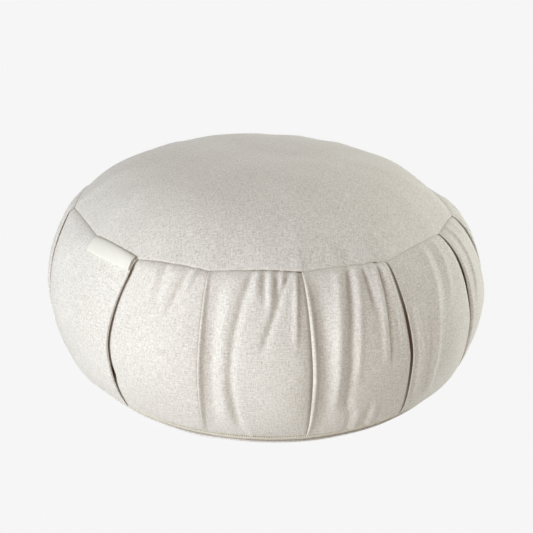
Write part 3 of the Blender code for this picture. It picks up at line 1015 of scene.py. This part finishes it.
def scaled(tree, vector, factor):
    """A vector times a number."""
    return add_node(tree, "VectorMath", {0: vector, "Scale": factor}, operation="SCALE").outputs[0]


def noise(tree, vector, scale, detail, roughness=0.5, stretch=None):
    """A Noise texture's value, with its pattern first stretched along each axis if asked."""
    if stretch:
        vector = add_node(tree, "Mapping", {"Vector": vector, "Scale": stretch}).outputs[0]
    return add_node(tree, "TexNoise", {"Vector": vector, "Scale": scale, "Detail": detail,
                                       "Roughness": roughness}).outputs["Fac"]


# %% The plain weave
def weave_group():
    """Over-and-under height of a plain weave: |sin| ribs that swap places thread by thread."""
    tree, given, result = new_group(
        "plain_weave", (("Cloth", VECTOR, None), ("Threads", FLOAT, 1500.0)), ("Height",))
    split = add_node(tree, "SeparateXYZ", {0: scaled(tree, given["Cloth"], given["Threads"])})
    warp, weft = [maths(tree, "SINE", maths(tree, "MULTIPLY", split.outputs[axis], math.pi))
                  for axis in (0, 1)]
    over = maths(tree, "MULTIPLY", warp, weft)
    ribs = maths(tree, "MAXIMUM", maths(tree, "ABSOLUTE", warp), maths(tree, "ABSOLUTE", weft))
    tree.links.new(maths(tree, "ADD", maths(tree, "MULTIPLY", over, 0.35), ribs), result["Height"])
    return tree


plain_weave = weave_group()


# %% The heathered yarn
def heather_group():
    """Streaks along warp and weft and a fine mottle, each centred on 0, added up."""
    tree, given, result = new_group(
        "heather", (("Cloth", VECTOR, None), ("Fineness", FLOAT, 1.0)), ("Tone", "Cloud"))
    cloth = scaled(tree, given["Cloth"], given["Fineness"])
    warp, weft = [noise(tree, cloth, 1.0, 1.0, stretch=stretch)
                  for stretch in ((1500.0, 170.0, 1.0), (170.0, 1500.0, 1.0))]
    mottle = noise(tree, cloth, 700.0, 2.0, 0.8)
    total = weighted(tree, maths(tree, "ADD", warp, weft), 0.8, mottle, 1.6)
    tree.links.new(maths(tree, "SUBTRACT", total, 1.6), result["Tone"])
    tree.links.new(noise(tree, cloth, 22.0, 3.0), result["Cloud"])
    return tree


heather = heather_group()


# %% The husk flecks
def fleck_group():
    """Round specks at the middles of Voronoi cells, nearly half of the cells left empty."""
    tree, given, result = new_group(
        "husk_flecks", (("Cloth", VECTOR, None), ("Density", FLOAT, 120.0), ("Size", FLOAT, 0.06)),
        ("Mask",))
    cells = add_node(tree, "TexVoronoi", {"Vector": given["Cloth"], "Scale": given["Density"]})
    chance = add_node(tree, "SeparateColor", {0: cells.outputs["Color"]}).outputs
    limit = maths(tree, "MULTIPLY", given["Size"], chance[1])
    near = maths(tree, "LESS_THAN", cells.outputs["Distance"], limit)
    picked = maths(tree, "GREATER_THAN", chance[0], 0.45)
    tree.links.new(maths(tree, "MULTIPLY", near, picked), result["Mask"])
    return tree


husk_flecks = fleck_group()
print("groups:", plain_weave.name, heather.name, husk_flecks.name)

# %% [markdown]
# ## The finishes
# All of the cover is one cloth: unbleached cotton and flax, heathered, dry and slightly
# furry, so it is rough, it hardly shines, and it has a pale sheen where it turns away.

# %% Material helpers
def new_material(name, roughness, sheen):
    """A material with the settings of dry cloth, its tree and its shader's inputs."""
    material = bpy.data.materials.new(name)
    material.use_nodes = True
    shader = material.node_tree.nodes["Principled BSDF"].inputs
    for title, value in (("Roughness", roughness), ("Sheen Weight", sheen),
                         ("Sheen Roughness", 0.45), ("Specular IOR Level", 0.2)):
        shader[title].default_value = value
    return material, material.node_tree, shader


def cloth_map(tree):
    """The piece's own map, in metres of cloth."""
    return add_node(tree, "UVMap", uv_map="cloth").outputs[0]


def place_group(tree, group, cloth, **values):
    """What a group puts out, fed with the cloth map and with its other inputs set by name."""
    return add_node(tree, "Group", {"Cloth": cloth, **values}, node_tree=group).outputs


def mixed(tree, factor, first, second):
    """A colour mix; first and second are colours or sockets."""
    first, second = [(*value, 1.0) if isinstance(value, tuple) else value
                     for value in (first, second)]
    return add_node(tree, "Mix", {0: factor, 6: first, 7: second}, data_type="RGBA").outputs[2]


def ranged(tree, value, low, high):
    """A value stretched so that low becomes 0 and high becomes 1, and held there."""
    limits = {"Value": value, "From Min": low, "From Max": high}
    return add_node(tree, "MapRange", limits).outputs[0]


def add_relief(tree, shader, height, strength, depth):
    """Bend the shader's normal by a height, with the relief's depth in metres."""
    bump = add_node(tree, "Bump", {"Strength": strength, "Distance": depth, "Height": height})
    tree.links.new(bump.outputs[0], shader["Normal"])


# %% The cover cloth
LIGHT_YARN = (0.88, 0.85, 0.80)
DARK_YARN = (0.54, 0.50, 0.44)
HUSK = (0.20, 0.14, 0.09)
# the colour of the painted shade laid into folds, pleat mouths and seams
FOLD_SHADE = (0.26, 0.18, 0.11)


def cover_cloth():
    """Two yarn colours by the heather's tone, husk flecks over them, painted shade in the folds and
    seams.
    """
    material, tree, shader = new_material("cover_cloth", 0.92, 0.25)
    cloth = cloth_map(tree)
    yarn = place_group(tree, heather, cloth, Fineness=1.0)
    weave = place_group(tree, plain_weave, cloth, Threads=1500.0)
    tone = ranged(tree, yarn["Tone"], -0.39, 0.39)
    cloud = ranged(tree, yarn["Cloud"], 0.3, 0.7)
    colour = mixed(tree, weighted(tree, tone, 0.85, cloud, 0.15), DARK_YARN, LIGHT_YARN)
    for density, size, strength in ((330.0, 0.22, 0.22), (150.0, 0.08, 0.6)):
        flecks = place_group(tree, husk_flecks, cloth, Density=density, Size=size)
        colour = mixed(tree, maths(tree, "MULTIPLY", flecks["Mask"], strength), colour, HUSK)
    # painted shade: the base colour turns toward FOLD_SHADE as far as the stored shade attribute says
    painted_shade = add_node(tree, "Attribute", attribute_name="painted_shade").outputs["Fac"]
    tree.links.new(mixed(tree, painted_shade, colour, FOLD_SHADE), shader["Base Color"])
    add_relief(tree, shader, weighted(tree, weave["Height"], 0.4, tone, 0.55), 0.26, 0.00025)
    return material


cover = cover_cloth()


# %% The zip and the label
def ribbon(name, light, dark, threads, roughness):
    """A fine woven ribbon: two close colours by the yarn's tone, and its weave as bump."""
    material, tree, shader = new_material(name, roughness, 0.1)
    cloth = cloth_map(tree)
    tone = ranged(tree, place_group(tree, heather, cloth, Fineness=1.6)["Tone"], -0.5, 0.5)
    tree.links.new(mixed(tree, tone, dark, light), shader["Base Color"])
    weave = place_group(tree, plain_weave, cloth, Threads=threads)
    add_relief(tree, shader, weave["Height"], 0.4, 0.0002)
    return material


tape_finish = ribbon("zip_tape_cloth", (0.87, 0.83, 0.72), (0.76, 0.71, 0.59), 2200.0, 0.85)
label_finish = ribbon("label_cloth", (0.88, 0.85, 0.77), (0.80, 0.77, 0.69), 2600.0, 0.7)


def coil_nylon():
    """Moulded cream nylon: a slight change of tone from place to place, half shiny."""
    material, tree, shader = new_material("coil_nylon", 0.45, 0.0)
    place = add_node(tree, "TexCoord").outputs["Object"]
    tone = ranged(tree, noise(tree, place, 300.0, 2.0), 0.3, 0.7)
    colour = mixed(tree, tone, (0.78, 0.74, 0.62), (0.88, 0.85, 0.74))
    tree.links.new(colour, shader["Base Color"])
    return material


coil_finish = coil_nylon()

# %% [markdown]
# ## Finishes and bodies
# Each piece takes its finish and rides on the one body, and the solid it stands for is hidden.

# %% Finishes and places
for piece, finish, slot, node in (
        (side_cover, cover, "cover_cloth", "cushion_body"),
        (top_cover, cover, "cover_cloth", "top_panel"),
        (bottom_cover, cover, "cover_cloth", "bottom_panel"),
        (tape_upper, tape_finish, "zip_tape", "zip_tape_upper"),
        (tape_lower, tape_finish, "zip_tape", "zip_tape_lower"),
        (coil, coil_finish, "zip_coil", "zip_coil"),
        (label_tape, label_finish, "label_tape", "label")):
    piece.data.materials.append(finish)
    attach(piece, "root")
    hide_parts(node)

# %% [markdown]
# ## The studio
# A pale floor runs into a pale surround. Two soft lights stand low on the left, a cool
# one well round to the side and a weaker one near the front. A third, at the right and a
# little behind, grazes the shaded side, and a small warm one above it draws a pale rim
# along the right edge. The surround only keeps the creases from going black.

# %% Floor and surround
PALE = (0.9215, 0.9215, 0.9215, 1.0)
FLOOR_REACH = 6.0
FLOOR_LEVEL = -0.0003         # just below the bottom disc, so that the two don't meet


def finish_tree(tree, output, seen, light):
    """Show one shader where the camera looks straight at it, and give light by the other."""
    path = add_node(tree, "LightPath")
    mix = add_node(tree, "MixShader", {0: path.outputs["Is Camera Ray"], 1: light.outputs[0],
                                       2: seen.outputs[0]})
    add_node(tree, output, {0: mix.outputs[0]})


def make_surround():
    """The world: flat pale grey to look at, warm and dimmer as light."""
    world = bpy.data.worlds.new("surround")
    world.use_nodes = True
    tree = world.node_tree
    tree.nodes.clear()
    seen = add_node(tree, "Background", {"Color": PALE})
    glow = add_node(tree, "Background", {"Color": (1.0, 0.86, 0.70, 1.0), "Strength": 0.18})
    finish_tree(tree, "OutputWorld", seen, glow)
    bpy.context.scene.world = world


def make_floor():
    """A wide level plane: flat pale grey to look at, a matt grey for light."""
    corners = np.array([(-1, -1), (1, -1), (1, 1), (-1, 1)], float) * FLOOR_REACH
    points = np.column_stack([corners, np.full(4, FLOOR_LEVEL)])
    floor = add_piece("floor", points, [np.arange(4)], corners)
    material = bpy.data.materials.new("floor_paper")
    material.use_nodes = True
    tree = material.node_tree
    tree.nodes.clear()
    seen = add_node(tree, "Emission", {"Color": PALE})
    matt = add_node(tree, "BsdfDiffuse", {"Color": (0.75, 0.74, 0.72, 1.0)})
    finish_tree(tree, "OutputMaterial", seen, matt)
    floor.data.materials.append(material)


make_surround()
make_floor()


# %% Lights
LIGHT_REACH = 1.9
CUSHION_MIDDLE = Vector((0.0, 0.0, 0.08))
LIGHTS = (
    # name, azimuth, elevation, size, power, colour
    ("key", -52, 19, 1.1, 28.0, (0.83, 0.91, 1.0)),
    ("front_fill", -14, 15, 0.9, 11.0, (1.0, 0.95, 0.93)),
    ("side_fill", 114, 12, 0.9, 30.0, (0.90, 0.97, 0.98)),
    ("rim", 135, 30, 0.9, 7.0, (1.0, 0.94, 0.80)),
)


def soft_light(name, azimuth, elevation, size, power, colour):
    """A square area light, LIGHT_REACH from the cushion's middle and turned to face it."""
    turn, rise = math.radians(azimuth), math.radians(elevation)
    away = LIGHT_REACH * Vector((math.sin(turn) * math.cos(rise),
                                 -math.cos(turn) * math.cos(rise), math.sin(rise)))
    lamp = bpy.data.lights.new(name, "AREA")
    lamp.size = size
    lamp.energy = power
    lamp.color = colour
    light = add_object(name, lamp)
    light.location = CUSHION_MIDDLE + away
    light.rotation_euler = (-away).to_track_quat("-Z", "Y").to_euler()


for light in LIGHTS:
    soft_light(*light)
print(len(LIGHTS), "lights")

# %% [markdown]
# ## The camera
# It stands a little above the cushion and looks down on it, from about two thirds of a
# metre, so the nearer edge swells a little.

# %% Camera
CAMERA_ELEVATION = 22.9
CAMERA_DISTANCE = 0.632
CAMERA_ROLL = 0.8
CAMERA_TARGET = Vector((0.001, 0.0, 0.067))
FOCAL_LENGTH = 51.8           # mm, for a sensor 36 mm wide


def make_camera():
    """A camera whose own axes are turned by its roll about the line of sight."""
    rise, roll = math.radians(CAMERA_ELEVATION), math.radians(CAMERA_ROLL)
    back = Vector((0.0, -math.cos(rise), math.sin(rise)))
    level, upright = Vector((1.0, 0.0, 0.0)), Vector((0.0, math.sin(rise), math.cos(rise)))
    right = level * math.cos(roll) + upright * math.sin(roll)
    up = upright * math.cos(roll) - level * math.sin(roll)
    lens = bpy.data.cameras.new("camera")
    lens.lens = FOCAL_LENGTH
    lens.sensor_width = 36.0
    camera = add_object("camera", lens)
    turn = Matrix((right, up, back)).transposed().to_4x4()
    camera.matrix_world = Matrix.Translation(CAMERA_TARGET + back * CAMERA_DISTANCE) @ turn
    bpy.context.scene.camera = camera


make_camera()
bpy.context.scene.view_settings.view_transform = "Standard"

# %% [markdown]
# ## Closing
# The scene is brought up to date.

# %% The closing call
bpy.context.view_layer.update()
